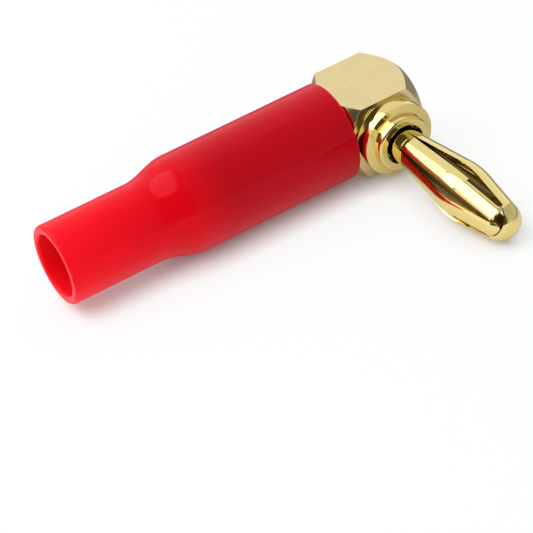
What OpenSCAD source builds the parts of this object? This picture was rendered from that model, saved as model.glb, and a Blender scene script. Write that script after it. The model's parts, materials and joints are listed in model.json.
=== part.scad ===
// Right-angle 4 mm banana plug with a slide-on insulating sleeve.
//
// The plug lies as it comes to rest: the sleeve along X with its mouth towards -X, the contact
// pin towards -Y and dipped until it touches the surface z = 0. The sizes are first laid out in
// the plug's own frame, with the sleeve's axis and the pin's axis crossing at its origin.

/* [Head] */
// Width across the flats of the square head
head_across = 8; // [7.6:0.1:8.4]
// From the pin's axis to the far end of the head
head_far = 4.15; // [3.9:0.05:5]
// From the pin's axis to the place where the head's cone meets the barrel
head_near = 4.35; // [4.2:0.05:5]
// Diameter of the flat face on the head's far end
head_face_d = 7.3; // [6:0.1:7.6]
// Slope of the turned cones on both ends of the head, from the end plane
cone_angle = 42; // [30:1:46]

/* [Barrel] */
// Diameter of the round barrel behind the head
barrel_d = 7.9; // [7.4:0.1:8]
// From the pin's axis to the barrel's open end
barrel_end = 18.3; // [17.5:0.1:20]
// Chamfer on the barrel's open end
barrel_chamfer = 0.4; // [0.2:0.05:0.6]
// Diameter of the wire bore
bore_d = 3.8; // [3.2:0.1:4.2]
// Depth of the wire bore
bore_depth = 12.5; // [11.5:0.5:13]
// Half angle of the drilled bottom of the wire bore
drill_half_angle = 59; // [45:1:70]
// Countersink at the mouth of the wire bore
bore_countersink = 0.35; // [0.1:0.05:0.6]

/* [Clamp screws] */
// Diameter of the clamp screws
screw_d = 3; // [2.5:0.1:3.2]
// From the barrel's open end to the first clamp screw
screw_first = 3.8; // [3:0.1:4.5]
// Distance between the two clamp screws
screw_pitch = 4.8; // [4:0.1:5.5]
// Width of the screwdriver slot
screw_slot_w = 0.5; // [0.3:0.05:0.8]
// Depth of the screwdriver slot
screw_slot_depth = 0.6; // [0.3:0.05:0.8]
// Chamfer on the clamp screw's tip
screw_tip_chamfer = 0.3; // [0.1:0.05:0.5]
// Gap between the clamp screw and its hole, on the radius
screw_clearance = 0.03; // [0.01:0.01:0.08]
// How far a clamp screw lies below the barrel's surface, so that the sleeve slides over it
screw_recess = 0.4; // [0.3:0.05:0.6]
// Gap between the clamp screw's tip and the open wire bore
screw_tip_gap = 0.05; // [0.03:0.01:0.1]

/* [Collar] */
// Diameter of the collar's ring on the head
collar_d = 7.5; // [6.8:0.1:7.6]
// Height of the collar's ring on the head
collar_h = 1.6; // [1.2:0.1:2]
// Broken edge of the collar's ring
collar_edge = 0.1; // [0.05:0.01:0.2]
// Diameter of the collar's raised step
step_d = 5.7; // [5.2:0.1:6.2]
// Height of the collar's raised step
step_h = 1.02; // [0.7:0.02:1.3]
// Chamfer on the collar's raised step
step_chamfer = 0.15; // [0.1:0.05:0.5]
// Diameter of the open well round the pin
well_d = 4.1; // [3.9:0.05:4.4]
// Depth of the open well round the pin
well_depth = 1.5; // [0.8:0.1:2]
// Diameter of the spigot that holds the collar in the head
spigot_d = 5.2; // [4.8:0.1:5.6]
// Length of the spigot that holds the collar in the head
spigot_len = 2.6; // [2:0.1:3]
// Thickness of the collar's floor under the spring
collar_floor = 1; // [0.6:0.1:1.4]
// From the end of the collar's core, inside the spring, back to the middle of the nose
core_back = 1.4; // [1:0.1:3]
// Chamfer on the end of the collar's core
core_chamfer = 0.5; // [0.3:0.1:0.7]
// Gap between pieces that are pressed together, on the radius
seat_clearance = 0.02; // [0.01:0.01:0.04]

/* [Contact spring] */
// Diameter of the spring's root ring
ring_d = 3.5; // [3.3:0.05:3.6]
// From the sleeve's axis to the end of the root ring, where the slits begin
ring_end = 7; // [6.8:0.1:7.6]
// Thickness of the spring sheet
sheet_t = 0.34; // [0.2:0.02:0.36]
// Width of the slit between two leaves at the root
slit_w = 0.06; // [0.06:0.02:0.2]
// Direction of the first nose leaf round the pin, from straight up towards the head's far end
leaf_turn = 33; // [20:1:40]
// Largest diameter over the bulged leaves
bulge_d = 5.6; // [5:0.1:5.8]
// From the sleeve's axis to the largest diameter
bulge_at = 16.2; // [15:0.1:17]
// Radius of the bend at the top of the bulge
bulge_bend = 9; // [7:0.5:11]
// Radius of the bend at the leaf's root
root_bend = 6; // [4:0.5:8]
// From the sleeve's axis to the tip of the nose
pin_tip = 23.7; // [23:0.02:26]
// Radius of the rounded nose
nose_r = 1.93; // [1.85:0.01:2.05]
// Width of the strap that forms the nose
strap_w = 2.1; // [1.8:0.05:2.3]
// Length over which the strap widens out of its leaves
strap_flare = 0.3; // [0.15:0.05:0.5]
// Gap between the nose strap and the free leaf tips
tip_gap = 0.12; // [0.08:0.02:0.2]
// How far the long free tips reach past the start of the nose
long_tip = 1.2; // [0.9:0.05:1.3]
// How far the short free tips reach past the start of the nose
short_tip = 0.35; // [0.2:0.05:0.6]
// Radius of the round end of the long free tips
tip_round = 0.7; // [0.3:0.05:0.75]
// Radius of the corners of the short free tips
tip_edge = 0.15; // [0.05:0.05:0.3]

/* [Sleeve] */
// Outside diameter of the sleeve over the barrel
sleeve_d = 9.9; // [9.5:0.1:10.6]
// Outside diameter of the cable tube
tube_d = 8; // [7.4:0.1:8.6]
// Wall of the cable tube
tube_wall = 0.9; // [0.7:0.05:1.2]
// Radius of the rounded lip at the head
lip_round = 0.35; // [0.2:0.05:0.4]
// From the pin's axis to the start of the shoulder
shoulder_at = 20.8; // [20.4:0.1:22]
// Length of the shoulder
shoulder_len = 4.5; // [3.5:0.1:5.5]
// From the pin's axis to the sleeve's mouth
mouth_at = 34.8; // [33:0.1:38]
// Radius of the rounded edge at the mouth
mouth_round = 0.3; // [0.15:0.05:0.34]
// Gap between the sleeve and the barrel, on the radius
sleeve_clearance = 0.05; // [0.03:0.01:0.1]
// Gap between the sleeve's lip and the head's cone
lip_gap = 0.12; // [0.1:0.01:0.2]

/* [Hidden] */

$fn = 96;
// A length that carries a cut clear through a face
past = 1;

head_half = head_across / 2;
head_corner = head_half * sqrt(2);
barrel_r = barrel_d / 2;
bore_r = bore_d / 2;
bore_floor = barrel_end - bore_depth;
cone_rise = tan(cone_angle);

screw_r = screw_d / 2;
screw_top = sqrt(barrel_r * barrel_r - screw_r * screw_r) - screw_recess;
screw_tip = bore_r + screw_tip_gap;
screw_places = [barrel_end - screw_first, barrel_end - screw_first - screw_pitch];

collar_r = collar_d / 2;
step_r = step_d / 2;
collar_top = head_half + collar_h;
step_top = collar_top + step_h;
well_floor = step_top - well_depth;
spigot_floor = head_half - spigot_len;
seat_floor = spigot_floor + collar_floor;

// The nose leaves stand opposite each other. A long and a short free tip lie between them.
leaf_count = 6;
leaf_pitch = 360 / leaf_count;
nose_leaf = 0;
long_leaves = [1, 4];
short_leaves = [2, 5];
ring_r = ring_d / 2;
bulge_r = bulge_d / 2;
leaf_w = ring_d * PI / leaf_count - slit_w;
nose_at = pin_tip - nose_r;
core_r = ring_r - sheet_t - seat_clearance;
core_end = nose_at - core_back;

// The leaf's outer line, seen from the side with x along the pin and y away from its axis: a bend
// out of the ring, a straight rise, the bulge, and a straight fall that runs on into the nose.
root_centre = [ring_end + slit_w, ring_r + root_bend];
bulge_centre = [bulge_at, bulge_r - bulge_bend];
nose_centre = [nose_at, 0];
root_to_bulge = bulge_centre - root_centre;
bulge_to_nose = nose_centre - bulge_centre;
rise_angle = atan2(root_to_bulge.y, root_to_bulge.x) + asin((root_bend + bulge_bend) / norm(root_to_bulge));
fall_normal = atan2(bulge_to_nose.y, bulge_to_nose.x) + acos((bulge_bend - nose_r) / norm(bulge_to_nose));
root_steps = 4;
bulge_steps = 10;
nose_steps = 12;

// The slots end a little way up the nose, where the strap and the free tips begin.
nose_start = nose_line(0)[0];
tips_from = (nose_start.x + nose_line(sheet_t)[1].x) / 2;
slot_end = (nose_line(sheet_t)[1].x + nose_line(0)[1].x) / 2;
tip_half = (leaf_w - slit_w) / 2;

sleeve_r = sleeve_d / 2;
sleeve_bore_r = barrel_r + sleeve_clearance;
tube_r = tube_d / 2;
tube_bore_r = tube_r - tube_wall;
lip_r = sleeve_r - lip_round;
shoulder_steps = 14;
round_steps = 6;

// The plug rests on the sleeve's line and on the lowest leaf of the pin, or on its nose.
below = (180 - leaf_turn) % leaf_pitch;
lowest_leaf = min(below, leaf_pitch - below);
leaf_tilt = min([for (p = leaf_line(0)) touch_tilt(p)]);
nose_tilt = asin((sleeve_r - nose_r) / nose_at);
rest_tilt = min(leaf_tilt, nose_tilt);

// The middle of the resting plug's outline is the origin.
back_reach = max(sleeve_r, head_corner * cos(45 - rest_tilt));
pin_reach = nose_at * cos(rest_tilt) + nose_r;
middle = [(head_far - mouth_at) / 2, (back_reach - pin_reach) / 2];

// Points of an arc about a centre, from one angle to another
function arc(centre, r, from, to, steps = round_steps) =
    [for (i = [0:steps])
        let (a = from + (to - from) * i / steps)
        centre + r * [cos(a), sin(a)]];

// Line of the bulged part of a leaf, a depth below its outer side
function leaf_line(depth) = concat(
    arc(root_centre, root_bend + depth, -90, rise_angle - 90, root_steps),
    arc(bulge_centre, bulge_bend - depth, rise_angle + 90, fall_normal, bulge_steps)
);

// Line of the nose, a depth below its outer side
function nose_line(depth) = arc(nose_centre, nose_r - depth, fall_normal, 0, nose_steps);

// Half of the angle that a leaf of one width takes up round the pin
function leaf_half_angle(r) = leaf_w / (2 * r) * 180 / PI;

// Half of the gap between two leaves
function slot_half(r) = r * sin(leaf_pitch / 2 - leaf_half_angle(r));

// Tilt of the plug that brings the lowest leaf edge down to the surface at a point of the leaf's line
function touch_tilt(p) =
    let (edge = max(lowest_leaf - leaf_half_angle(p.y), 0))
    let (drop = p.y * cos(edge))
    asin(sleeve_r / norm([p.x, drop])) - atan2(drop, p.x);

// The points halfway between the points of a list
function halfway(points) = [for (i = [1:len(points) - 1]) (points[i - 1] + points[i]) / 2];

// A list of points with their two coordinates changed over
function swapped(points) = [for (p = points) [p.y, p.x]];

// Points of a smooth shoulder from one radius to another, level at both ends
function shoulder(r_from, r_to) =
    [for (i = [0:shoulder_steps])
        let (share = i / shoulder_steps)
        [r_to + (r_from - r_to) * (1 + cos(180 * share)) / 2, shoulder_at + shoulder_len * share]];

// A list of points in the other order
function backwards(points) = [for (i = [len(points) - 1:-1:0]) points[i]];

// Place along the sleeve of the head's near cone, moved off it by a gap, at a radius
function near_cone(r, gap) = head_near - (r - barrel_r) * cone_rise + gap / cos(cone_angle);

// Moves a piece from the plug's own frame to its place at rest
module at_rest() {
    translate([-middle.x, -middle.y, sleeve_r])
        rotate([rest_tilt, 0, 0])
            children();
}

// Turns a piece drawn upwards to point from the head to the sleeve's mouth
module along_sleeve() {
    rotate([0, -90, 0])
        children();
}

// Turns a piece drawn upwards to point along the contact pin
module along_pin() {
    rotate([90, 0, 0])
        children();
}

// Turns a piece drawn upwards to point out of the barrel's back, away from the pin
module along_screw(place) {
    translate([-place, 0, 0])
        rotate([-90, 0, 0])
            children();
}

// Square head with a turned cone on each end
module head() {
    corner = head_corner + past;
    intersection() {
        rotate_extrude()
            polygon([
                [0, -head_far],
                [head_face_d / 2, -head_far],
                [corner, -head_far + (corner - head_face_d / 2) * cone_rise],
                [corner, near_cone(corner, 0)],
                [barrel_r, head_near],
                [0, head_near]
            ]);
        translate([0, 0, -head_far - past])
            linear_extrude(head_far + head_near + 2 * past)
                square(head_across, center = true);
    }
}

// Round barrel behind the head
module barrel() {
    rotate_extrude()
        polygon([
            [0, 0],
            [barrel_r, 0],
            [barrel_r, barrel_end - barrel_chamfer],
            [barrel_r - barrel_chamfer, barrel_end],
            [0, barrel_end]
        ]);
}

// Wire bore, with its drilled bottom and its countersunk mouth
module wire_bore() {
    mouth_r = bore_r + bore_countersink;
    rotate_extrude()
        polygon([
            [0, bore_floor - bore_r / tan(drill_half_angle)],
            [bore_r, bore_floor],
            [bore_r, barrel_end - bore_countersink],
            [mouth_r, barrel_end],
            [mouth_r, barrel_end + past],
            [0, barrel_end + past]
        ]);
}

// Square head and round barrel, turned from one bar
module elbow_body() {
    color("gold")
        at_rest()
            difference() {
                along_sleeve() {
                    head();
                    barrel();
                }
                along_sleeve()
                    wire_bore();
                along_pin()
                    translate([0, 0, spigot_floor])
                        cylinder(d = spigot_d + 2 * seat_clearance, h = head_across);
                for (place = screw_places)
                    along_screw(place)
                        cylinder(r = screw_r + screw_clearance, h = barrel_d);
            }
}

// Stepped collar that holds the contact spring in the head, with a core inside the spring
module pin_collar() {
    seat_r = ring_r + seat_clearance;
    color("goldenrod")
        at_rest()
            along_pin()
                rotate_extrude()
                    polygon([
                        [0, spigot_floor],
                        [spigot_d / 2, spigot_floor],
                        [spigot_d / 2, head_half],
                        [collar_r, head_half],
                        [collar_r, collar_top - collar_edge],
                        [collar_r - collar_edge, collar_top],
                        [step_r, collar_top],
                        [step_r, step_top - step_chamfer],
                        [step_r - step_chamfer, step_top],
                        [well_d / 2, step_top],
                        [well_d / 2, well_floor],
                        [seat_r, well_floor],
                        [seat_r, seat_floor],
                        [core_r, seat_floor],
                        [core_r, core_end - core_chamfer],
                        [core_r - core_chamfer, core_end],
                        [0, core_end]
                    ]);
}

// Rolled sheet of the spring, before it is slit into leaves
module spring_shell() {
    rotate_extrude()
        polygon(concat(
            [[ring_r, seat_floor]],
            swapped(leaf_line(0)),
            swapped(nose_line(0)),
            swapped(backwards(nose_line(sheet_t))),
            swapped(backwards(leaf_line(sheet_t))),
            [[ring_r - sheet_t, seat_floor]]
        ));
}

// Carries an outline, drawn with y along the pin, outwards from the pin's axis
module outwards() {
    rotate([90, 0, 90])
        linear_extrude(bulge_d)
            children();
}

// Gap between two leaves, which keeps each leaf at one width
module slot() {
    edge = concat(
        [[ring_end, ring_r]],
        halfway(concat(leaf_line(0), [nose_start])),
        [[slot_end, nose_start.y]]
    );
    outwards()
        polygon(concat(
            [for (p = edge) [slot_half(p.y), p.x]],
            [for (p = backwards(edge)) [-slot_half(p.y), p.x]]
        ));
}

// Outline of the end of a free leaf, with its corners rounded by a radius
module tip_outline(reach, corner_r) {
    top = nose_start.x + reach;
    side = tip_half - corner_r;
    polygon(concat(
        [[-tip_half, nose_start.x], [tip_half, nose_start.x]],
        arc([side, top - corner_r], corner_r, 0, 90),
        arc([-side, top - corner_r], corner_r, 90, 180)
    ));
}

// Puts what is drawn towards +X in the place of a leaf round the pin
module leaf_place(number) {
    rotate([0, 0, 90 - leaf_turn - leaf_pitch * number])
        children();
}

// Slab along the strap of the nose, which flares out of its leaves, with a gap on each side
module strap_slab(gap) {
    leaf_half = tip_half + gap;
    strap_half = strap_w / 2 + gap;
    leaf_place(nose_leaf)
        translate([-bulge_d, 0, 0])
            rotate([90, 0, 90])
                linear_extrude(2 * bulge_d)
                    polygon([
                        [-leaf_half, nose_start.x],
                        [leaf_half, nose_start.x],
                        [leaf_half, tips_from],
                        [strap_half, tips_from + strap_flare],
                        [strap_half, pin_tip + past],
                        [-strap_half, pin_tip + past],
                        [-strap_half, tips_from + strap_flare],
                        [-leaf_half, tips_from]
                    ]);
}

// Ends of the four free leaves, clear of the strap
module free_tips() {
    difference() {
        union() {
            for (number = long_leaves)
                leaf_place(number)
                    outwards()
                        tip_outline(long_tip, tip_round);
            for (number = short_leaves)
                leaf_place(number)
                    outwards()
                        tip_outline(short_tip, tip_edge);
        }
        strap_slab(tip_gap);
    }
}

// Lantern spring: a root ring, two leaves joined by the nose strap, and four leaves with free tips
module contact_spring() {
    color("khaki")
        at_rest()
            along_pin()
                difference() {
                    spring_shell();
                    for (number = [0:leaf_count - 1])
                        leaf_place(number + 0.5)
                            slot();
                    difference() {
                        translate([0, 0, tips_from])
                            cylinder(d = bulge_d, h = bulge_d);
                        strap_slab(0);
                        free_tips();
                    }
                }
}

// Soft sleeve: a rounded lip, the part over the barrel, a shoulder and the cable tube
module insulating_sleeve() {
    lip_at = near_cone(lip_r, lip_gap);
    mouth_centre = mouth_at - mouth_round;
    color("crimson")
        at_rest()
            along_sleeve()
                rotate_extrude()
                    polygon(concat(
                        arc([lip_r, lip_at + lip_round], lip_round, -90, 0),
                        shoulder(sleeve_r, tube_r),
                        arc([tube_r - mouth_round, mouth_centre], mouth_round, 0, 90),
                        arc([tube_bore_r + mouth_round, mouth_centre], mouth_round, 90, 180),
                        backwards(shoulder(sleeve_bore_r, tube_bore_r)),
                        [[sleeve_bore_r, near_cone(sleeve_bore_r, lip_gap)]]
                    ));
}

// Headless slotted screw that clamps the wire
module clamp_screw(place) {
    color("darkgoldenrod")
        at_rest()
            along_screw(place)
                difference() {
                    rotate_extrude()
                        polygon([
                            [0, screw_tip],
                            [screw_r - screw_tip_chamfer, screw_tip],
                            [screw_r, screw_tip + screw_tip_chamfer],
                            [screw_r, screw_top],
                            [0, screw_top]
                        ]);
                    translate([-screw_d, -screw_slot_w / 2, screw_top - screw_slot_depth])
                        cube([2 * screw_d, screw_slot_w, screw_slot_depth + past]);
                }
}

module clamp_screw_1() {
    clamp_screw(screw_places[0]);
}

module clamp_screw_2() {
    clamp_screw(screw_places[1]);
}

elbow_body();
pin_collar();
contact_spring();
insulating_sleeve();
clamp_screw_1();
clamp_screw_2();
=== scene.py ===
"""Right-angle banana plug with a soft red sleeve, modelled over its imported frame.

Every piece is first modelled in the plug's own frame, where the sleeve runs along X with its mouth
towards -X, the contact pin points along -Y, and the two axes cross at the origin. It is then laid
down to the place at rest that the frame gives.
"""

import json
import math

import bmesh
import bpy
from bpy.props import FloatProperty, FloatVectorProperty, IntProperty, PointerProperty
from mathutils import Matrix, Vector


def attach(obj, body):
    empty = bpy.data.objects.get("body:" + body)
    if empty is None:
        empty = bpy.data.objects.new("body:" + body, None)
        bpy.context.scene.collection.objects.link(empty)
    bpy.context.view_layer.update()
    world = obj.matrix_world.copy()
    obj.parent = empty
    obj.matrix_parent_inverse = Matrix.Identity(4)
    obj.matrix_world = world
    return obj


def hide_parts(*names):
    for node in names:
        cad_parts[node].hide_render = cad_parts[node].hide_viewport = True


bl_info = {
    "name": "Right-angle banana plug",
    "version": (1, 0, 0),
    "blender": (4, 5, 0),
    "location": "View3D > Sidebar > Plug",
    "description": "Models a right-angle banana plug with a soft sleeve over its packed frame",
    "category": "Add Mesh",
}

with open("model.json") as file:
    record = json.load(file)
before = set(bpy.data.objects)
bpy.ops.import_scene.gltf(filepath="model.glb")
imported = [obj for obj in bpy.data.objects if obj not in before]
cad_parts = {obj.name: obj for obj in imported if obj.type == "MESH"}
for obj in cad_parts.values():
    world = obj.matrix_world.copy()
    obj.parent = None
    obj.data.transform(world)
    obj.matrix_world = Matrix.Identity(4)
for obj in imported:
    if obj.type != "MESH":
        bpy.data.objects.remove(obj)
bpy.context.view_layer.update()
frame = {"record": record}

# A millimetre in metres, and the distance within which two vertices are one
MM = 0.001
WELD = 0.0005 * MM

# Where the plug's own frame lies at rest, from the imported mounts
MOUNTS = {mount["name"]: mount for mount in frame["record"]["mounts"]}
PIN_WAY = Vector(MOUNTS["contact_pin"]["axis"])
REST_TILT = math.atan2(-PIN_WAY.z, -PIN_WAY.y)
CROSSING = Vector((MOUNTS["contact_pin"]["pos_m"][0], *MOUNTS["wire_bore"]["pos_m"][1:]))
AT_REST = Matrix.Translation(CROSSING) @ Matrix.Rotation(REST_TILT, 4, "X")

TO_MOUTH = Vector((-1, 0, 0))
TO_TIP = Vector((0, -1, 0))
TO_BACK = Vector((0, 1, 0))
UP = Vector((0, 0, 1))

LEAF_COUNT = 6
SECTOR = 2 * math.pi / LEAF_COUNT

# How finely curved lines and turned faces are divided
CUTTER_FACES = 96
SCREW_FACES = 64
CORE_STEPS = 6
LEAF_COLUMNS = 12
ROOT_ROWS = 8
BULGE_ROWS = 24
TIP_ROWS = 4
CORNER_STEPS = 8
STRAP_ROWS = 32
LIP_STEPS = 8
SHOULDER_STEPS = 28
MOUTH_STEPS = 6

# Radius of a speck, as a share of its cell
SPECK_REACH = 0.28
# How strongly patches show on the plating, the colour left in them and in specks, and how the
# roughness varies
PLATING_PATCHES = 0.5
PLATING_SHADE = 0.78
SMOOTHEST, ROUGHEST = 0.7, 1.3
# How far below the head's front flat the turned rings start, in millimetres, and how much deeper
# they are than the fine lines
FLAT_MARGIN = 0.1
RING_DEPTH = 12.0
# Roughness of the collar's core
DULL_ROUGHNESS = 0.5
# How strongly patches show on the vinyl, the colour left in them, its least and most roughness,
# and the height of its specks beside its ripples
VINYL_PATCHES = 0.4
VINYL_SHADE = (0.85, 0.85, 0.85, 1)
VINYL_ROUGHNESS = (0.03, 0.08)
VINYL_SPECKS = 0.1
# Where the vinyl's reds change, in millimetres towards the mouth: the deep red of painted shade
# over the barrel ends and the plain red starts past the barrel's end, and the bright red of painted
# light starts past the shoulder's end
SHADED_RED_END, RED_START, MOUTH_LIGHT_START = -1.5, 5, -1

# Each lamp's size, its place, the point that it faces, its shape and the rays that miss it
LAMPS = {
    "key": ((0.44, 0.54), (-0.23, 0.08, 0.3), (-0.23, 0.08, 0), "ELLIPSE", None),
    "back": ((0.58, 0.7), (0.22, 0.314, 0.321), (0, 0, 0), "RECTANGLE", None),
    "strip": ((0.4, 0.24), (-0.243, 0.347, 0.265), (0, 0, 0), "RECTANGLE", "visible_diffuse"),
    "fill": ((0.7, 0.24), (-0.07, -0.48, 0.13), (0, 0, 0), "RECTANGLE", "visible_glossy"),
    "side": ((0.25, 0.3), (-0.48, 0.1, 0.12), (0, 0, 0), "RECTANGLE", "visible_diffuse"),
}
# How far the dark of a contact reaches over the floor
CONTACT_REACH = 3 * MM
# The way in which the floor, as metal shows it, gets darker away from the key lamp as a painted
# pool of light, and how far it fades
FROM_KEY = (1.0, 0.6, 0.0)
FADE_REACH = 50 * MM
# Sine of the height from which the room has its overhead brightness
OVERHEAD = 0.6
# The way to the middle of the room's dark side, left of the camera, and the cosines of the angles
# from it where the dark starts and where it is full
DARK_SIDE = (-0.632, -0.678, 0.375)
DARK_START, DARK_FULL = 0.56, 0.74
# The camera's place in millimetres from the crossing of the axes, its turn in degrees and the
# width of its sensor
CAMERA_PLACE = Vector((-101.0135, -194.4361, 123.5899))
CAMERA_TURN = (57.04813, 11.29980, -31.34463)
CAMERA_SENSOR = 36


def length(name, millimetres, description):
    """A size, kept in metres."""
    return FloatProperty(
        name=name, description=description, default=millimetres * MM, unit="LENGTH", precision=5)


def angle(name, degrees, description):
    """An angle, kept in radians."""
    return FloatProperty(
        name=name, description=description, default=math.radians(degrees), subtype="ANGLE")


def colour(name, rgb, description):
    """A finish colour."""
    return FloatVectorProperty(
        name=name, description=description, default=rgb, size=3, min=0, max=1, subtype="COLOR")


def brightness(name, value, description):
    """Brightness of a lamp or of the room, where 1 is white."""
    return FloatProperty(name=name, description=description, default=value, min=0)


def share(name, value, description):
    """A share, from none to all."""
    return FloatProperty(
        name=name, description=description, default=value, min=0, max=1, subtype="FACTOR")


class PlugHeadSizes(bpy.types.PropertyGroup):
    """Sizes of the square head and the barrel behind it."""

    across: length("Across flats", 8, "Width across the flats of the square head")
    far: length("Far end", 4.15, "From the pin's axis to the far end of the head")
    near: length("Near end", 4.35, "From the pin's axis to where the cone meets the barrel")
    face: length("End face", 7.3, "Diameter of the flat face on the far end")
    cone: angle("Cone", 42, "Slope of the turned cones, from the end plane")
    barrel: length("Barrel", 7.9, "Diameter of the barrel")
    barrel_end: length("Barrel end", 18.3, "From the pin's axis to the barrel's open end")
    barrel_chamfer: length("Barrel chamfer", 0.4, "Chamfer on the barrel's open end")
    bore: length("Wire bore", 3.8, "Diameter of the wire bore")
    bore_depth: length("Bore depth", 12.5, "Depth of the wire bore")
    drill: angle("Drill", 59, "Half angle of the bore's drilled bottom")
    countersink: length("Countersink", 0.35, "Countersink at the mouth of the bore")
    edge: length("Edge", 0.05, "Width of the broken edges")


class PlugScrewSizes(bpy.types.PropertyGroup):
    """Sizes of the two clamp screws."""

    diameter: length("Diameter", 3, "Diameter of a clamp screw")
    first: length("First", 3.8, "From the barrel's open end to the first clamp screw")
    pitch: length("Pitch", 4.8, "Distance between the two clamp screws")
    slot_width: length("Slot width", 0.5, "Width of the screwdriver slot")
    slot_depth: length("Slot depth", 0.6, "Depth of the screwdriver slot")
    chamfer: length("Chamfer", 0.3, "Chamfer on the tip")
    clearance: length("Clearance", 0.03, "Gap between a screw and its hole")
    recess: length("Recess", 0.4, "How far a screw lies below the barrel's surface")
    tip_gap: length("Tip gap", 0.05, "Gap between a screw's tip and the open bore")
    edge: length("Edge", 0.04, "Width of the broken edges")


class PlugCollarSizes(bpy.types.PropertyGroup):
    """Sizes of the stepped collar round the pin."""

    ring: length("Ring", 7.5, "Diameter of the ring on the head")
    ring_height: length("Ring height", 1.6, "Height of the ring on the head")
    step: length("Step", 5.7, "Diameter of the raised step")
    step_height: length("Step height", 1.02, "Height of the raised step")
    step_chamfer: length("Step chamfer", 0.15, "Chamfer on the raised step")
    well: length("Well", 4.1, "Diameter of the open well round the pin")
    well_depth: length("Well depth", 1.5, "Depth of the open well round the pin")
    spigot: length("Spigot", 5.2, "Diameter of the spigot in the head")
    spigot_length: length("Spigot length", 2.6, "Length of the spigot in the head")
    floor: length("Floor", 1, "Thickness of the floor under the spring")
    core_end: length("Core end", 20.37, "From the sleeve's axis to the end of the spring's core")
    core_round: length("Core round", 0.5, "Radius of the rounded end of the core")
    seat_gap: length("Seat gap", 0.02, "Gap between the pressed pieces")
    edge: length("Edge", 0.07, "Width of the broken edges")


class PlugSpringSizes(bpy.types.PropertyGroup):
    """Sizes of the lantern spring."""

    ring: length("Root ring", 3.5, "Diameter of the root ring")
    ring_end: length("Ring end", 7, "From the sleeve's axis to the start of the slits")
    sheet: length("Sheet", 0.34, "Thickness of the sheet")
    slit: length("Slit", 0.06, "Width of a slit at the root")
    turn: angle("Turn", 33, "Direction of the first nose leaf, from upright towards the far end")
    bulge: length("Bulge", 5.6, "Largest diameter over the leaves")
    bulge_at: length("Bulge place", 16.2, "From the sleeve's axis to the largest diameter")
    bulge_bend: length("Bulge bend", 9, "Radius of the bend at the top of the bulge")
    root_bend: length("Root bend", 6, "Radius of the bend at the leaf's root")
    tip: length("Tip", 23.7, "From the sleeve's axis to the tip of the nose")
    nose: length("Nose", 1.93, "Radius of the rounded nose")
    strap: length("Strap", 2.1, "Width of the strap that forms the nose")
    strap_flare: length("Strap flare", 0.3, "Length over which the strap widens out of its leaves")
    tip_gap: length("Tip gap", 0.12, "Gap between the strap and the free tips")
    long_tip: length("Long tip", 1.2, "How far the long free tips reach past the nose's start")
    short_tip: length("Short tip", 0.35, "How far the short free tips reach past the nose's start")
    long_round: length("Long tip round", 0.7, "Radius of the end of the long free tips")
    short_round: length("Short tip round", 0.15, "Radius of the corners of the short free tips")
    edge: length("Edge", 0.13, "Width of the rounded sheet edges")


class PlugSleeveSizes(bpy.types.PropertyGroup):
    """Sizes of the soft sleeve."""

    outside: length("Outside", 9.9, "Outside diameter over the barrel")
    tube: length("Tube", 8, "Outside diameter of the cable tube")
    wall: length("Wall", 0.9, "Wall of the cable tube")
    lip_round: length("Lip round", 0.35, "Radius of the rounded lip at the head")
    shoulder_at: length("Shoulder", 20.8, "From the pin's axis to the start of the shoulder")
    shoulder_length: length("Shoulder length", 4.5, "Length of the shoulder")
    mouth_at: length("Mouth", 34.8, "From the pin's axis to the mouth")
    mouth_round: length("Mouth round", 0.3, "Radius of the rounded edge at the mouth")
    clearance: length("Clearance", 0.05, "Gap between the sleeve and the barrel")
    lip_gap: length("Lip gap", 0.12, "Gap between the lip and the head's cone")


class PlugFinishes(bpy.types.PropertyGroup):
    """Colours of the plug."""

    gold: colour("Gold", (0.87, 0.71, 0.36), "Gold plating of the head and the screws")
    rich_gold: colour("Rich gold", (0.88, 0.7, 0.26), "Turned gold plating of the collar")
    bright_gold: colour("Bright gold", (0.9, 0.74, 0.29), "Polished gold plating of the spring")
    # The core inside the spring is coloured darker as painted shade, where the leaves shade it
    shaded_core_gold: colour("Dull gold", (0.3, 0.2, 0.05), "Dull brass of the core inside the spring")
    red: colour("Red", (0.78, 0.001, 0.006), "Red vinyl at the shoulder")
    # The deep red is painted shade, where the barrel under the vinyl keeps light from coming
    # through
    shaded_red: colour("Deep red", (0.5, 0.001, 0.005), "Red vinyl where the barrel lies under it")
    # The bright red is painted light, where light comes through the open tube at the mouth
    mouth_light_red: colour("Bright red", (1.0, 0.005, 0.014), "Red vinyl at the open, lit mouth")


class PlugStageSettings(bpy.types.PropertyGroup):
    """Floor, lamps and camera."""

    floor: colour("Floor", (0.92, 0.92, 0.92), "Colour of the floor as it lights the plug")
    floor_size: length("Floor size", 3000, "Side of the floor")
    floor_glow: share("Floor glow", 0.82, "Share of plain white in the floor as it is seen")
    # Metal shows the floor as a painted pool of light that fades away from the key lamp down to
    # this white
    floor_far: share("Far floor", 0.12, "White that metal shows in the floor far from the key")
    key: brightness("Key lamp", 2.3, "Brightness of the large lamp over the mouth")
    back: brightness("Back lamp", 0.38, "Brightness of the soft panel behind the head")
    strip: brightness("Strip lamp", 1.6, "Brightness of the low strip behind the sleeve")
    fill: brightness("Fill lamp", 1.2, "Brightness of the low panel that fills the shadows")
    side: brightness("Side lamp", 0.55, "Brightness of the low panel beyond the mouth")
    surround: brightness("Surround", 0.55, "Brightness of the room overhead")
    horizon: brightness("Horizon", 0.65, "Brightness of the room at the floor's edge")
    opening: share("Opening", 0.14, "Share of light left in the room's dark side")
    lens: FloatProperty(
        name="Lens", description="Focal length of the camera", default=175.61, unit="CAMERA")
    faces_round: IntProperty(
        name="Round", description="Faces round a turned piece", default=128, min=16)


def sizes(group):
    """A group of the plug's sizes, as the scene holds it."""
    return getattr(bpy.context.scene, "plug_" + group)


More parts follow.
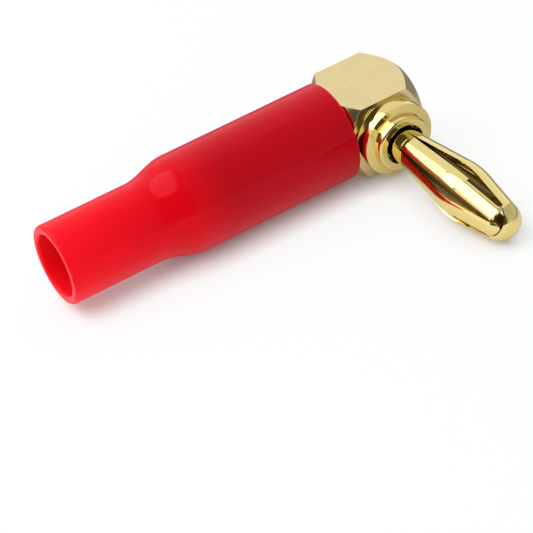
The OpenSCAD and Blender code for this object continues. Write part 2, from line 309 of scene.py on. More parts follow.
def arc(centre, radius, start, end, steps):
    """Points of an arc about a centre in a plane, from one angle to another."""
    turns = [start + (end - start) * i / steps for i in range(steps + 1)]
    return [(centre[0] + radius * math.cos(t), centre[1] + radius * math.sin(t)) for t in turns]


def start_piece(name, point):
    """A new object in edit mode, with a single vertex."""
    bpy.ops.object.select_all(action="DESELECT")
    bpy.ops.mesh.primitive_plane_add(size=MM, location=point)
    piece = bpy.context.object
    piece.name = piece.data.name = name
    bpy.ops.object.transform_apply()
    bpy.ops.object.mode_set(mode="EDIT")
    bpy.ops.mesh.select_all(action="SELECT")
    bpy.ops.mesh.merge(type="CENTER")
    return piece


def draw_line(points):
    """Draws on from the selected vertex through a list of points that starts with it."""
    for here, there in zip(points, points[1:]):
        bpy.ops.mesh.extrude_vertices_move(TRANSFORM_OT_translate={"value": there - here})


def turn_about(axis, turn, steps, centre=(0, 0, 0)):
    """Spins the selection about an axis by the right-hand rule."""
    bpy.ops.mesh.spin(steps=steps, angle=turn, center=centre, axis=-Vector(axis))


def close_up():
    """Merges double vertices, turns the faces outwards and leaves edit mode."""
    bpy.ops.mesh.select_all(action="SELECT")
    bpy.ops.mesh.remove_doubles(threshold=WELD)
    bpy.ops.mesh.normals_make_consistent(inside=False)
    bpy.ops.object.mode_set(mode="OBJECT")


def lathe(name, profile, along, steps=None):
    """Turns a profile of (place along the axis, radius) pairs into a solid of revolution."""
    points = [along * place + UP * radius for place, radius in profile]
    piece = start_piece(name, points[0])
    draw_line(points)
    bpy.ops.mesh.select_all(action="SELECT")
    turn_about(along, 2 * math.pi, steps or sizes("stage").faces_round)
    close_up()
    return piece


def make_active(piece):
    """Selects one object alone."""
    bpy.ops.object.select_all(action="DESELECT")
    piece.select_set(True)
    bpy.context.view_layer.objects.active = piece


def apply_modifier(piece, kind, **settings):
    """Adds a modifier, sets it and applies it."""
    modifier = piece.modifiers.new(kind.title(), kind)
    for key, value in settings.items():
        setattr(modifier, key, value)
    make_active(piece)
    bpy.ops.object.modifier_apply(modifier=modifier.name)


def carve(piece, cutter, operation="DIFFERENCE"):
    """Cuts a piece with another object, which is used up."""
    apply_modifier(piece, "BOOLEAN", object=cutter, operation=operation, solver="EXACT")
    bpy.data.objects.remove(cutter)


def break_edges(piece, width, limit=30, segments=2):
    """Rounds the sharp edges of a piece by a small width."""
    apply_modifier(piece, "BEVEL", width=width, segments=segments, limit_method="ANGLE",
                   angle_limit=math.radians(limit))


def rod(radius, depth, middle, way):
    """A plain cylinder to cut with, along a direction."""
    bpy.ops.object.select_all(action="DESELECT")
    bpy.ops.mesh.primitive_cylinder_add(
        vertices=CUTTER_FACES, radius=radius, depth=depth, location=middle,
        rotation=way.to_track_quat("Z", "Y").to_euler())
    bpy.ops.object.transform_apply()
    return bpy.context.object


def block(size, middle):
    """A plain block to cut with."""
    bpy.ops.object.select_all(action="DESELECT")
    bpy.ops.mesh.primitive_cube_add(size=1, location=middle, scale=size)
    bpy.ops.object.transform_apply()
    return bpy.context.object


def finish_piece(piece, body, slot, material, *nodes, smooth=35):
    """Lays a piece down at rest, smooths it, and ties it to its body and CAD nodes; the slot is not
    used.
    """
    make_active(piece)
    piece.matrix_world = AT_REST @ piece.matrix_world
    bpy.ops.object.transform_apply()
    bpy.ops.object.shade_smooth_by_angle(angle=math.radians(smooth))
    apply_modifier(piece, "WEIGHTED_NORMAL", keep_sharp=True)
    piece.data.materials.clear()
    piece.data.materials.append(material)
    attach(piece, body)
    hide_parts(*nodes)


class Nodes:
    """Adds and links the nodes of one tree."""

    def __init__(self, tree):
        self.tree = tree

    def add(self, kind, inputs=None, **settings):
        """A new node, with values or links for its inputs."""
        node = self.tree.nodes.new(kind)
        for key, value in settings.items():
            setattr(node, key, value)
        for key, value in (inputs or {}).items():
            self.put(node.inputs[key], value)
        return node

    def put(self, socket, value):
        """Links an output to an input, or sets the input's value."""
        if isinstance(value, bpy.types.NodeSocket):
            self.tree.links.new(value, socket)
        else:
            socket.default_value = value

    def math(self, operation, *values):
        """Output of a Math node."""
        return self.add("ShaderNodeMath", dict(enumerate(values)), operation=operation).outputs[0]

    def dot(self, first, second):
        """Dot product of two vectors."""
        return self.add("ShaderNodeVectorMath", {0: first, 1: second},
                        operation="DOT_PRODUCT").outputs["Value"]

    def ramp(self, value, start, end, low=0.0, high=1.0, **settings):
        """A value that goes from low to high while another one goes from start to end."""
        return self.add("ShaderNodeMapRange", {
            "Value": value, "From Min": start, "From Max": end, "To Min": low, "To Max": high,
        }, **settings).outputs[0]

    def place(self):
        """The place on an object."""
        return self.add("ShaderNodeTexCoord").outputs["Object"]

    def plug_place(self):
        """The place on the plug in its own frame, in millimetres."""
        return self.add("ShaderNodeMapping", {
            "Vector": self.place(), "Location": CROSSING,
            "Rotation": (REST_TILT, 0, 0), "Scale": (MM, MM, MM),
        }, vector_type="TEXTURE").outputs[0]

    def plug_parts(self):
        """The X, Y and Z of the place on the plug."""
        return self.add("ShaderNodeSeparateXYZ", {"Vector": self.plug_place()}).outputs


def effect(name, inputs, outputs):
    """A new node group with named number inputs and outputs, and the builder of its nodes."""
    group = bpy.data.node_groups.new(name, "ShaderNodeTree")
    for label, default in inputs.items():
        socket = group.interface.new_socket(label, in_out="INPUT", socket_type="NodeSocketFloat")
        socket.default_value = default
    for label in outputs:
        group.interface.new_socket(label, in_out="OUTPUT", socket_type="NodeSocketFloat")
    nodes = Nodes(group)
    return group, nodes, nodes.add("NodeGroupInput").outputs, nodes.add("NodeGroupOutput").inputs


def cloudy_effect():
    """Soft uneven patches and fine specks, as on plating and on vinyl."""
    name = "Cloudy surface"
    if name in bpy.data.node_groups:
        return bpy.data.node_groups[name]
    group, nodes, given, result = effect(
        name, {"Patch size": 2.0, "Speck size": 0.1, "Speck share": 0.1}, ["Patches", "Specks"])
    place = nodes.plug_place()
    patches = nodes.add("ShaderNodeTexNoise", {
        "Vector": place, "Scale": nodes.math("DIVIDE", 1.0, given["Patch size"]), "Detail": 3.0,
    })
    nodes.put(result["Patches"], patches.outputs["Fac"])
    grains = nodes.add("ShaderNodeTexVoronoi", {
        "Vector": place, "Scale": nodes.math("DIVIDE", 1.0, given["Speck size"]),
    })
    chosen = nodes.math("LESS_THAN", nodes.add("ShaderNodeSeparateColor", {
        "Color": grains.outputs["Color"]}).outputs[0], given["Speck share"])
    dot = nodes.math("LESS_THAN", grains.outputs["Distance"], SPECK_REACH)
    nodes.put(result["Specks"], nodes.math("MULTIPLY", chosen, dot))
    return group


def turned_effect():
    """Fine rings round the contact pin, as a lathe leaves them."""
    name = "Turned rings"
    if name in bpy.data.node_groups:
        return bpy.data.node_groups[name]
    group, nodes, given, result = effect(name, {"Ring width": 0.05}, ["Rings"])
    parts = nodes.plug_parts()
    flat = nodes.add("ShaderNodeCombineXYZ", {"X": parts["X"], "Z": parts["Z"]}).outputs[0]
    radius = nodes.add("ShaderNodeVectorMath", {0: flat}, operation="LENGTH").outputs["Value"]
    along = nodes.math("ADD", radius, parts["Y"])
    rings = nodes.add("ShaderNodeTexNoise", {
        "W": nodes.math("DIVIDE", along, given["Ring width"]), "Scale": 1.0, "Detail": 2.0,
    }, noise_dimensions="1D")
    nodes.put(result["Rings"], rings.outputs["Fac"])
    return group


def brushed_effect():
    """Fine straight lines along the sleeve, as milling and polishing leave them."""
    name = "Brushed lines"
    if name in bpy.data.node_groups:
        return bpy.data.node_groups[name]
    group, nodes, given, result = effect(name, {"Line width": 0.04, "Line length": 2.0}, ["Lines"])
    parts = nodes.plug_parts()
    stretched = nodes.add("ShaderNodeCombineXYZ", {
        "X": nodes.math("DIVIDE", parts["X"], given["Line length"]),
        "Y": nodes.math("DIVIDE", parts["Y"], given["Line width"]),
        "Z": nodes.math("DIVIDE", parts["Z"], given["Line width"]),
    }).outputs[0]
    lines = nodes.add("ShaderNodeTexNoise", {"Vector": stretched, "Scale": 1.0, "Detail": 3.0})
    nodes.put(result["Lines"], lines.outputs["Fac"])
    return group


def new_material(name):
    """A new material with a Principled shader, and the builder of its nodes."""
    if name in bpy.data.materials:
        bpy.data.materials.remove(bpy.data.materials[name])
    material = bpy.data.materials.new(name)
    material.use_nodes = True
    shader = material.node_tree.nodes["Principled BSDF"]
    return material, Nodes(material.node_tree), shader


def place_effect(nodes, group, **values):
    """Puts an effect into a material with its own values, and gives its outputs."""
    node = nodes.add("ShaderNodeGroup", node_tree=group)
    for label, value in values.items():
        node.inputs[label.replace("_", " ").capitalize()].default_value = value
    return node.outputs


def spread(nodes, mask, low, high):
    """A mask between 0 and 1 spread over a range."""
    return nodes.ramp(mask, 0.0, 1.0, low, high)


def mixed(nodes, mask, first, second, **settings):
    """The mix of two colours by a mask."""
    return nodes.add("ShaderNodeMix", {"Factor": mask, "A": first, "B": second},
                     data_type="RGBA", **settings).outputs["Result"]


def shaded(nodes, mask, rgb, dark):
    """A colour that a mask darkens by a share."""
    deep = [c * dark for c in rgb]
    return mixed(nodes, mask, (*rgb, 1), (*deep, 1))


def turned_lines(ring_width):
    """Adds fine rings of a given width to a material."""
    return lambda nodes: place_effect(nodes, turned_effect(), ring_width=ring_width)["Rings"]


def brushed_lines(line_width, line_length):
    """Adds fine straight lines of a given size to a material."""
    return lambda nodes: place_effect(
        nodes, brushed_effect(), line_width=line_width, line_length=line_length)["Lines"]


def raise_marks(nodes, shader, height, depth):
    """Raises fine marks on a surface, by a depth in millimetres."""
    bump = nodes.add("ShaderNodeBump", {"Height": height, "Strength": 1.0, "Distance": depth * MM})
    nodes.put(shader.inputs["Normal"], bump.outputs["Normal"])


def gold_material(name, rgb, roughness, lines, depth, painted_shade=None):
    """Gold plating with uneven polish, fine marks and specks, and rougher and darker where a mask
    of painted shade says so.
    """
    material, nodes, shader = new_material(name)
    cloudy = place_effect(nodes, cloudy_effect(), patch_size=1.5, speck_size=0.35, speck_share=0.03)
    soft = spread(nodes, cloudy["Patches"], 0.0, PLATING_PATCHES)
    mix = shaded(nodes, nodes.math("MAXIMUM", soft, cloudy["Specks"]), rgb, PLATING_SHADE)
    gloss = spread(nodes, cloudy["Patches"], roughness * SMOOTHEST, roughness * ROUGHEST)
    # Painted shade: where the mask says so, the gold turns darker and rougher
    if painted_shade:
        mask = painted_shade(nodes)
        mix = mixed(nodes, mask, mix, (*sizes("finishes").shaded_core_gold, 1))
        gloss = nodes.math("MAXIMUM", gloss, nodes.math("MULTIPLY", mask, DULL_ROUGHNESS))
    nodes.put(shader.inputs["Base Color"], mix)
    nodes.put(shader.inputs["Roughness"], gloss)
    shader.inputs["Metallic"].default_value = 1.0
    raise_marks(nodes, shader, lines(nodes), depth)
    return material


def head_lines(nodes):
    """Fine lines along the bar, and turned rings on the flat that carries the pin."""
    front = sizes("head").across / 2 / MM - FLAT_MARGIN
    y = nodes.plug_parts()["Y"]
    lines = brushed_lines(line_width=0.05, line_length=1.6)(nodes)
    rings = turned_lines(ring_width=0.16)(nodes)
    return nodes.add("ShaderNodeMix", {
        "Factor": nodes.math("LESS_THAN", y, -front),
        "A": lines, "B": nodes.math("MULTIPLY", rings, RING_DEPTH),
    }, data_type="FLOAT").outputs["Result"]


def head_gold():
    """Satin gold of the head and the barrel."""
    return gold_material(
        "Satin gold", sizes("finishes").gold, roughness=0.14, lines=head_lines, depth=0.001)


def core_mask(nodes):
    """Where the collar's core stands inside the spring's leaves, which gets painted shade."""
    y = nodes.plug_parts()["Y"]
    return nodes.math("LESS_THAN", y, -sizes("spring").ring_end / MM)


def collar_gold():
    """Turned gold of the collar, with fine rings and a rougher core darkened as painted shade."""
    return gold_material(
        "Turned gold", sizes("finishes").rich_gold, roughness=0.07,
        lines=turned_lines(ring_width=0.22), depth=0.003, painted_shade=core_mask)


def spring_gold():
    """Polished gold of the contact spring."""
    return gold_material(
        "Polished gold", sizes("finishes").bright_gold, roughness=0.06,
        lines=brushed_lines(line_width=0.2, line_length=0.2), depth=0.001)


def screw_gold():
    """Plated finish of the clamp screws."""
    return gold_material(
        "Plated screw", sizes("finishes").gold, roughness=0.25,
        lines=brushed_lines(line_width=0.06, line_length=0.3), depth=0.002)


def red_vinyl():
    """Soft glossy red vinyl that lets some light through, with painted shade over the barrel and
    painted light at the mouth.
    """
    material, nodes, shader = new_material("Red vinyl")
    finishes = sizes("finishes")
    cloudy = place_effect(nodes, cloudy_effect(), patch_size=4.0, speck_size=1.1, speck_share=0.02)
    soft = spread(nodes, cloudy["Patches"], 0.0, VINYL_PATCHES)
    x = nodes.plug_parts()["X"]
    barrel_end = sizes("head").barrel_end / MM
    sleeve = sizes("sleeve")
    shoulder_end = (sleeve.shoulder_at + sleeve.shoulder_length) / MM
    # Painted shade over the barrel, and painted light towards the mouth
    out_of_shade = nodes.ramp(x, -SHADED_RED_END - barrel_end, -RED_START - barrel_end,
                      interpolation_type="SMOOTHSTEP")
    lit = nodes.ramp(x, -MOUTH_LIGHT_START - shoulder_end, -sleeve.mouth_at / MM)
    shaded_base = mixed(nodes, out_of_shade, (*finishes.shaded_red, 1), (*finishes.red, 1))
    tint = mixed(nodes, lit, shaded_base, (*finishes.mouth_light_red, 1))
    nodes.put(shader.inputs["Base Color"],
              mixed(nodes, soft, tint, VINYL_SHADE, blend_type="MULTIPLY"))
    nodes.put(shader.inputs["Roughness"], spread(nodes, cloudy["Patches"], *VINYL_ROUGHNESS))
    for name, value in {
        "IOR": 1.3,
        "Specular IOR Level": 0.6,
        "Specular Tint": (1.0, 0.26, 0.33, 1),
        "Sheen Weight": 1.0,
        "Sheen Roughness": 0.6,
        "Sheen Tint": (1.0, 0.03, 0.06, 1),
        "Subsurface Weight": 0.6,
        "Subsurface Radius": (1.0, 0.08, 0.08),
        "Subsurface Scale": 1.2 * MM,
    }.items():
        shader.inputs[name].default_value = value
    specks = nodes.math("MULTIPLY", cloudy["Specks"], VINYL_SPECKS)
    raise_marks(nodes, shader, nodes.math("ADD", cloudy["Patches"], specks), depth=0.02)
    return material


def near_cone(radius, gap=0.0):
    """Place along the sleeve of the head's near cone, moved off it by a gap."""
    head = sizes("head")
    return head.near - (radius - head.barrel / 2) * math.tan(head.cone) + gap / math.cos(head.cone)


def screw_places():
    """Places of the clamp screws along the sleeve."""
    first = sizes("head").barrel_end - sizes("screws").first
    return [first, first - sizes("screws").pitch]


def screw_span():
    """From the sleeve's axis to a clamp screw's tip and to its top."""
    head, screws = sizes("head"), sizes("screws")
    top = math.sqrt((head.barrel / 2) ** 2 - (screws.diameter / 2) ** 2) - screws.recess
    return head.bore / 2 + screws.tip_gap, top


class PLUG_OT_head(bpy.types.Operator):
    """Square head and round barrel, turned from one bar"""

    bl_idname = "plug.head"
    bl_label = "Head and barrel"

    def execute(self, context):
        head, screws, collar = sizes("head"), sizes("screws"), sizes("collar")
        barrel, bore, face = head.barrel / 2, head.bore / 2, head.face / 2
        corner = head.across
        floor = head.barrel_end - head.bore_depth
        body = lathe("elbow", [
            (-head.far, 0),
            (-head.far, face),
            (-head.far + (corner - face) * math.tan(head.cone), corner),
            (near_cone(corner), corner),
            (head.near, barrel),
            (head.barrel_end - head.barrel_chamfer, barrel),
            (head.barrel_end, barrel - head.barrel_chamfer),
            (head.barrel_end, bore + head.countersink),
            (head.barrel_end - head.countersink, bore),
            (floor, bore),
            (floor - bore / math.tan(head.drill), 0),
        ], TO_MOUTH)
        span = 2 * (head.barrel_end + head.far)
        carve(body, block((span, head.across, head.across), (0, 0, 0)), "INTERSECT")
        depth = head.across
        socket = head.across / 2 - collar.spigot_length
        hole = collar.spigot / 2 + collar.seat_gap
        carve(body, rod(hole, depth, TO_TIP * (socket + depth / 2), TO_TIP))
        for place in screw_places():
            middle = TO_MOUTH * place + TO_BACK * depth / 2
            carve(body, rod(screws.diameter / 2 + screws.clearance, depth, middle, TO_BACK))
        break_edges(body, head.edge)
        finish_piece(body, "plug", "gold_head", head_gold(), "elbow_body")
        return {"FINISHED"}


class PLUG_OT_collar(bpy.types.Operator):
    """Stepped collar that holds the contact spring"""

    bl_idname = "plug.collar"
    bl_label = "Collar"

    def execute(self, context):
        collar, spring = sizes("collar"), sizes("spring")
        seat = sizes("head").across / 2
        bottom = seat - collar.spigot_length
        ring_top = seat + collar.ring_height
        step_top = ring_top + collar.step_height
        hole = spring.ring / 2 + collar.seat_gap
        core = spring.ring / 2 - spring.sheet - collar.seat_gap
        core_edge = arc((collar.core_end - collar.core_round, core - collar.core_round),
                        collar.core_round, math.pi / 2, 0, CORE_STEPS)
        body = lathe("collar", [
            (bottom, 0),
            (bottom, collar.spigot / 2),
            (seat, collar.spigot / 2),
            (seat, collar.ring / 2),
            (ring_top, collar.ring / 2),
            (ring_top, collar.step / 2),
            (step_top - collar.step_chamfer, collar.step / 2),
            (step_top, collar.step / 2 - collar.step_chamfer),
            (step_top, collar.well / 2),
            (step_top - collar.well_depth, collar.well / 2),
            (step_top - collar.well_depth, hole),
            (bottom + collar.floor, hole),
            (bottom + collar.floor, core),
            *core_edge,
            (collar.core_end, 0),
        ], TO_TIP)
        break_edges(body, collar.edge)
        finish_piece(body, "plug", "gold_collar", collar_gold(), "pin_collar")
        return {"FINISHED"}


class Leaf:
    """The line of a spring leaf and its width, worked out from the spring's sizes."""

    def __init__(self):
        spring = sizes("spring")
        self.spring = spring
        self.ring = spring.ring / 2
        self.width = math.pi * spring.ring / LEAF_COUNT - spring.slit
        self.nose_at = spring.tip - spring.nose
        self.tip_half = (self.width - spring.slit) / 2
        root = Vector((spring.ring_end + spring.slit, self.ring + spring.root_bend))
        bulge = Vector((spring.bulge_at, spring.bulge / 2 - spring.bulge_bend))
        nose = Vector((self.nose_at, 0))
        rise_line, fall_line = bulge - root, nose - bulge
        rise = math.atan2(rise_line.y, rise_line.x)
        rise += math.asin((spring.root_bend + spring.bulge_bend) / rise_line.length)
        self.fall = math.atan2(fall_line.y, fall_line.x)
        self.fall += math.acos((spring.bulge_bend - spring.nose) / fall_line.length)
        quarter = math.pi / 2
        self.line = arc(root, spring.root_bend, -quarter, rise - quarter, ROOT_ROWS)
        self.line += arc(bulge, spring.bulge_bend, rise + quarter, self.fall, BULGE_ROWS)
        self.nose_start = self.nose_at + spring.nose * math.cos(self.fall)
        self.line += [(self.nose_start, spring.nose * math.sin(self.fall))]

    def half(self):
        """Half of the leaf's straight width, across the curve that it keeps from the root ring."""
        return self.ring * math.sin(self.width / (2 * self.ring))

    def nose_radius(self, place):
        """Radius of the nose at a place along the pin."""
        return math.sqrt(self.spring.nose ** 2 - (place - self.nose_at) ** 2)

    def row(self, place, radius, half, curve):
        """A row of the leaf, whose bow comes from the curve across it."""
        return place, radius, half, curve - math.sqrt(curve ** 2 - half ** 2)

    def rows(self):
        """The leaf's rows up to the nose, as (place along the pin, radius, half width, bow)."""
        return [self.row(place, radius, self.half(), self.ring) for place, radius in self.line]

    def tip_rows(self, reach, corner):
        """The rows of a free tip on the nose, with its corners rounded."""
        end = self.nose_start + reach
        side = self.tip_half - corner
        step = (end - corner - self.nose_start) / TIP_ROWS
        ends = [(self.nose_start + step * i, self.tip_half) for i in range(1, TIP_ROWS + 1)]
        ends += arc((end - corner, side), corner, math.pi / 2, 0, CORNER_STEPS)[1:]
        radii = [self.nose_radius(place) for place, half in ends]
        return [self.row(place, radius, half, radius) for (place, half), radius in zip(ends, radii)]


def select_points(piece, test):
    """Selects the vertices of a mesh in edit mode whose place passes a test."""
    mesh = bmesh.from_edit_mesh(piece.data)
    for vertex in mesh.verts:
        vertex.select = test(vertex.co)
    mesh.select_flush_mode()
    bmesh.update_edit_mesh(piece.data)


def carry_row(here, there):
    """Draws the selected row of a leaf on to its next row, which has its own width and bow."""
    step = TO_TIP * (there[0] - here[0]) + UP * (there[1] - here[1])
    bpy.ops.mesh.extrude_region_move(TRANSFORM_OT_translate={"value": step})
    bpy.ops.transform.resize(value=(there[2] / here[2], 1, there[3] / here[3]),
                             center_override=TO_TIP * there[0] + UP * there[1])


def leaf_sector(name, leaf, tip_rows=(), strap_side=0):
    """One sixth of the spring, straight up: its share of the root ring, and a leaf with its tip."""
    spring, collar = leaf.spring, sizes("collar")
    seat = sizes("head").across / 2 - collar.spigot_length + collar.floor
    half_turn = leaf.width / spring.ring
    slit_turn = SECTOR / 2 - half_turn
    start = Matrix.Rotation(-SECTOR / 2, 3, "Y") @ (TO_TIP * seat + UP * leaf.ring)
    piece = start_piece(name, start)
    turn_about(TO_BACK, slit_turn, 1)
    turn_about(TO_BACK, 2 * half_turn, LEAF_COLUMNS)
    turn_about(TO_BACK, slit_turn, 1)
    bpy.ops.mesh.select_all(action="SELECT")
    ring_depth = TO_TIP * (spring.ring_end - seat)
    bpy.ops.mesh.extrude_region_move(TRANSFORM_OT_translate={"value": ring_depth})
    edge = leaf.half() + WELD
    select_points(piece, lambda p: -p.y > spring.ring_end - WELD and abs(p.x) < edge)
    rows = [leaf.row(spring.ring_end, leaf.ring, leaf.half(), leaf.ring), *leaf.rows(), *tip_rows]
    for here, there in zip(rows, rows[1:]):
        carry_row(here, there)
    if strap_side:
        keep = Matrix.Rotation(-strap_side * (math.pi / 2 - SECTOR), 3, "Y") @ UP
        select_points(piece, lambda p: -p.y > leaf.nose_start - WELD)
        bpy.ops.mesh.bisect(plane_co=keep * (spring.strap / 2 + spring.tip_gap), plane_no=keep,
                            clear_inner=True, threshold=WELD)
    bpy.ops.object.mode_set(mode="OBJECT")
    return piece


def turned_copy(piece, turn):
    """A copy of a piece with its own mesh, turned about the pin."""
    make_active(piece)
    bpy.ops.object.duplicate()
    copy = bpy.context.object
    copy.rotation_euler = (0, turn, 0)
    bpy.ops.object.transform_apply()
    return copy


def join_pieces(pieces):
    """Joins pieces into the first one."""
    make_active(pieces[0])
    for piece in pieces:
        piece.select_set(True)
    bpy.ops.object.join()
    return pieces[0]


def nose_strap(leaf):
    """The domed strap of the nose, from one leaf over the tip to the opposite leaf."""
    spring = leaf.spring
    centre = TO_TIP * leaf.nose_at
    begin = leaf.fall - spring.strap_flare / spring.nose
    half_turn = math.asin(spring.strap / 2 / spring.nose)
    out = TO_TIP * math.cos(begin) + UP * math.sin(begin)
    across = Vector((1, 0, 0))
    start = centre + spring.nose * (out * math.cos(half_turn) - across * math.sin(half_turn))
    piece = start_piece("strap", start)
    turn_about(out.cross(across), 2 * half_turn, LEAF_COLUMNS, centre)
    bpy.ops.mesh.select_all(action="SELECT")
    turn_about(UP.cross(TO_TIP), 2 * begin, STRAP_ROWS, centre)
    bpy.ops.object.mode_set(mode="OBJECT")
    return piece, begin


def bridge_strap(piece, leaf, begin, side):
    """Bridges a nose leaf's last row and the strap's first row, on one side of the pin."""
    spring = leaf.spring
    reach = leaf.nose_at + spring.nose * math.cos(begin)
    select_points(piece, lambda p: leaf.nose_start - WELD < -p.y < reach + WELD and p.z * side > 0)
    bpy.ops.mesh.select_mode(type="EDGE")
    mesh = bmesh.from_edit_mesh(piece.data)
    for border in mesh.edges:
        border.select = border.is_boundary and all(v.select for v in border.verts) and abs(
            border.verts[0].co.x - border.verts[1].co.x) > 10 * WELD
    bmesh.update_edit_mesh(piece.data)
    bpy.ops.mesh.bridge_edge_loops(number_cuts=2, interpolation="LINEAR")
    bpy.ops.mesh.select_mode(type="VERT")


class PLUG_OT_spring(bpy.types.Operator):
    """Lantern spring: root ring, six bulged leaves, domed nose strap and free tips"""

    bl_idname = "plug.spring"
    bl_label = "Contact spring"

    def execute(self, context):
        spring = sizes("spring")
        leaf = Leaf()
        nose = leaf_sector("nose_leaf", leaf)
        strap, begin = nose_strap(leaf)
        body = join_pieces([nose, turned_copy(nose, math.pi), strap])
        bpy.ops.object.mode_set(mode="EDIT")
        for side in (1, -1):
            bridge_strap(body, leaf, begin, side)
        bpy.ops.object.mode_set(mode="OBJECT")
        long_rows = leaf.tip_rows(spring.long_tip, spring.long_round)
        long_leaf = leaf_sector("long_leaf", leaf, long_rows, -1)
        short_rows = leaf.tip_rows(spring.short_tip, spring.short_round)
        short_leaf = leaf_sector("short_leaf", leaf, short_rows, 1)
        # Round the pin, leaves 0 and 3 carry the nose, 1 and 4 are long, and 2 and 5 are short
        free = [turned_copy(long_leaf, SECTOR * n) for n in (1, 4)]
        free += [turned_copy(short_leaf, SECTOR * n) for n in (2, 5)]
        for pattern in (long_leaf, short_leaf):
            bpy.data.objects.remove(pattern)
        body = join_pieces([body, *free])
        body.name = body.data.name = "spring"
        bpy.ops.object.mode_set(mode="EDIT")
        close_up()
        apply_modifier(body, "SOLIDIFY", thickness=spring.sheet, offset=-1, use_even_offset=True)
        break_edges(body, spring.edge, limit=50, segments=4)
        body.rotation_euler = (0, spring.turn, 0)
        finish_piece(body, "plug", "gold_spring", spring_gold(), "contact_spring", smooth=40)
        return {"FINISHED"}


class PLUG_OT_sleeve(bpy.types.Operator):
    """Soft sleeve with a rounded lip, a shoulder and a cable tube"""

    bl_idname = "plug.sleeve"
    bl_label = "Sleeve"

    def shoulder(self, wide, narrow):
        """Points of the smooth shoulder between two radii."""
        sleeve = sizes("sleeve")
        shares = [i / SHOULDER_STEPS for i in range(SHOULDER_STEPS + 1)]
        return [(sleeve.shoulder_at + sleeve.shoulder_length * along,
                 narrow + (wide - narrow) * (1 + math.cos(math.pi * along)) / 2)
                for along in shares]

    def execute(self, context):
        sleeve = sizes("sleeve")
        outside, tube = sleeve.outside / 2, sleeve.tube / 2
        bore = sizes("head").barrel / 2 + sleeve.clearance
        tube_bore = tube - sleeve.wall
        lip = outside - sleeve.lip_round
        lip_at = near_cone(lip, sleeve.lip_gap)
        mouth = sleeve.mouth_round
        edge = sleeve.mouth_at - mouth
        quarter = math.pi / 2
        profile = arc((lip_at + sleeve.lip_round, lip), sleeve.lip_round,
                      2 * quarter, quarter, LIP_STEPS)
        profile += self.shoulder(outside, tube)
        profile += arc((edge, tube - mouth), mouth, quarter, 0, MOUTH_STEPS)
        profile += arc((edge, tube_bore + mouth), mouth, 0, -quarter, MOUTH_STEPS)
        profile += reversed(self.shoulder(bore, tube_bore))
        profile += [(near_cone(bore, sleeve.lip_gap), bore), profile[0]]
        body = lathe("sleeve", profile, TO_MOUTH)
        finish_piece(body, "sleeve", "red_sleeve", red_vinyl(), "insulating_sleeve")
        return {"FINISHED"}


class PLUG_OT_screws(bpy.types.Operator):
    """Two slotted clamp screws in the barrel"""

    bl_idname = "plug.screws"
    bl_label = "Clamp screws"

    def execute(self, context):
        screws = sizes("screws")
        radius = screws.diameter / 2
        tip, top = screw_span()
        finish = screw_gold()
        for number, place in enumerate(screw_places(), 1):
            screw = lathe(f"clamp_screw_{number}_shown", [
                (tip, 0),
                (tip, radius - screws.chamfer),
                (tip + screws.chamfer, radius),
                (top, radius),
                (top, 0),
            ], TO_BACK, steps=SCREW_FACES)
            slot = (2 * screws.diameter, 2 * screws.slot_depth, screws.slot_width)
            carve(screw, block(slot, TO_BACK * top))
            break_edges(screw, screws.edge)
            screw.location = TO_MOUTH * place
            finish_piece(screw, f"screw_{number}", "screw_metal", finish, f"clamp_screw_{number}")
        return {"FINISHED"}


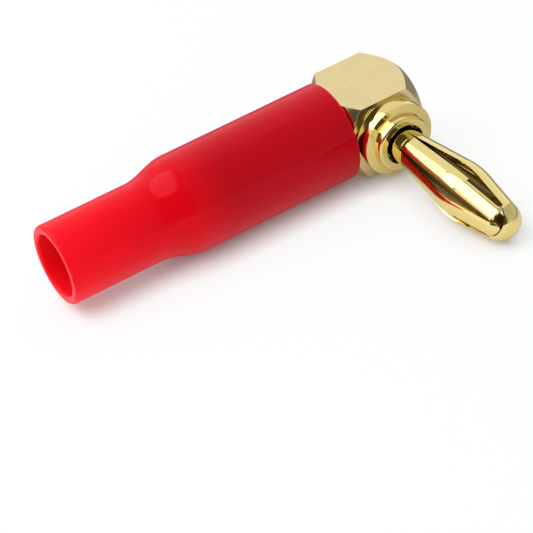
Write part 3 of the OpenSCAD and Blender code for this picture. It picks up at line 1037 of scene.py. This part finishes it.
class PLUG_OT_stage(bpy.types.Operator):
    """Pale floor, soft lamps and the camera"""

    bl_idname = "plug.stage"
    bl_label = "Stage"

    def execute(self, context):
        stage = sizes("stage")
        self.floor(stage)
        self.lamps(stage)
        self.surround(stage)
        self.camera(stage)
        bpy.context.scene.view_settings.view_transform = "Standard"
        return {"FINISHED"}

    def floor(self, stage):
        """A plain pale floor that keeps the shadow and, where metal shows it, has a painted pool of
        light that fades away from the key lamp.
        """
        bpy.ops.object.select_all(action="DESELECT")
        bpy.ops.mesh.primitive_plane_add(size=stage.floor_size)
        floor = bpy.context.object
        floor.name = "floor"
        material, nodes, shader = new_material("Pale floor")
        shader.inputs["Base Color"].default_value = (*stage.floor, 1)
        shader.inputs["Roughness"].default_value = 0.9
        shader.inputs["Specular IOR Level"].default_value = 0.0
        path = nodes.add("ShaderNodeLightPath").outputs
        mirrored = nodes.math("MAXIMUM", path["Is Glossy Ray"], path["Is Transmission Ray"])
        seen = nodes.math("MAXIMUM", path["Is Camera Ray"], mirrored)
        nearby = nodes.add("ShaderNodeAmbientOcclusion", {"Distance": CONTACT_REACH}).outputs
        white = nodes.math("MULTIPLY", nodes.math("MULTIPLY", seen, stage.floor_glow), nearby["AO"])
        # Painted light: as metal shows it, the floor glows brightest near the key lamp and fades
        # away from it
        away = nodes.dot(nodes.place(), FROM_KEY)
        painted_pool = nodes.ramp(away, 0.0, FADE_REACH, 1.0, stage.floor_far)
        shown = nodes.math("MULTIPLY", mirrored, painted_pool)
        strength = nodes.math("MAXIMUM", path["Is Camera Ray"], shown)
        glow = nodes.add("ShaderNodeEmission", {"Color": (1, 1, 1, 1), "Strength": strength})
        surface = nodes.add("ShaderNodeMixShader", {
            0: white, 1: shader.outputs[0], 2: glow.outputs[0],
        })
        nodes.put(material.node_tree.nodes["Material Output"].inputs["Surface"], surface.outputs[0])
        floor.data.materials.append(material)

    def lamps(self, stage):
        """Soft lamps, each of which faces a point."""
        for name, (size, place, aim, shape, missed) in LAMPS.items():
            bpy.ops.object.select_all(action="DESELECT")
            way = Vector(aim) - Vector(place)
            bpy.ops.object.light_add(
                type="AREA", location=place, rotation=way.to_track_quat("-Z", "Y").to_euler())
            lamp = bpy.context.object
            lamp.name = name
            lamp.data.shape = shape
            lamp.data.size, lamp.data.size_y = size
            area = size[0] * size[1] * (1 if shape == "RECTANGLE" else math.pi / 4)
            lamp.data.energy = getattr(stage, name) * math.pi * area
            if missed:
                setattr(lamp, missed, False)

    def surround(self, stage):
        """A room that is brightest at the floor's edge, with a dark side."""
        world = bpy.data.worlds.new("Room")
        bpy.context.scene.world = world
        world.use_nodes = True
        nodes = Nodes(world.node_tree)
        way = nodes.add("ShaderNodeTexCoord").outputs["Generated"]
        height = nodes.add("ShaderNodeSeparateXYZ", {"Vector": way}).outputs["Z"]
        background = world.node_tree.nodes["Background"]
        background.inputs["Color"].default_value = (1, 1, 1, 1)
        sky = nodes.ramp(height, 0.0, OVERHEAD, stage.horizon, stage.surround,
                         interpolation_type="SMOOTHSTEP")
        dark = nodes.ramp(nodes.dot(way, DARK_SIDE), DARK_START, DARK_FULL, 1.0, stage.opening,
                          interpolation_type="SMOOTHSTEP")
        nodes.put(background.inputs["Strength"], nodes.math("MULTIPLY", sky, dark))

    def camera(self, stage):
        """The camera at the photograph's viewing angle."""
        bpy.ops.object.select_all(action="DESELECT")
        bpy.ops.object.camera_add(
            location=CROSSING + CAMERA_PLACE * MM,
            rotation=[math.radians(turn) for turn in CAMERA_TURN])
        camera = bpy.context.object
        camera.data.lens = stage.lens
        camera.data.sensor_width = CAMERA_SENSOR
        camera.data.clip_start = 0.01
        bpy.context.scene.camera = camera


class PLUG_PT_panel(bpy.types.Panel):
    """Lists the pieces of the plug"""

    bl_idname = "PLUG_PT_panel"
    bl_label = "Banana plug"
    bl_space_type = "VIEW_3D"
    bl_region_type = "UI"
    bl_category = "Plug"

    def draw(self, context):
        for operator in OPERATORS:
            self.layout.operator(operator.bl_idname)


GROUPS = {
    "head": PlugHeadSizes,
    "screws": PlugScrewSizes,
    "collar": PlugCollarSizes,
    "spring": PlugSpringSizes,
    "sleeve": PlugSleeveSizes,
    "finishes": PlugFinishes,
    "stage": PlugStageSettings,
}
OPERATORS = [
    PLUG_OT_head,
    PLUG_OT_screws,
    PLUG_OT_collar,
    PLUG_OT_spring,
    PLUG_OT_sleeve,
    PLUG_OT_stage,
]
CLASSES = [*GROUPS.values(), *OPERATORS, PLUG_PT_panel]


def register():
    for cls in CLASSES:
        bpy.utils.register_class(cls)
    for name, group in GROUPS.items():
        setattr(bpy.types.Scene, "plug_" + name, PointerProperty(type=group))


def unregister():
    for name in GROUPS:
        delattr(bpy.types.Scene, "plug_" + name)
    for cls in reversed(CLASSES):
        bpy.utils.unregister_class(cls)


def main():
    """Builds the plug and its stage."""
    register()
    bpy.ops.plug.head()
    bpy.ops.plug.screws()
    bpy.ops.plug.collar()
    bpy.ops.plug.spring()
    bpy.ops.plug.sleeve()
    bpy.ops.plug.stage()


if __name__ == "__main__":
    main()
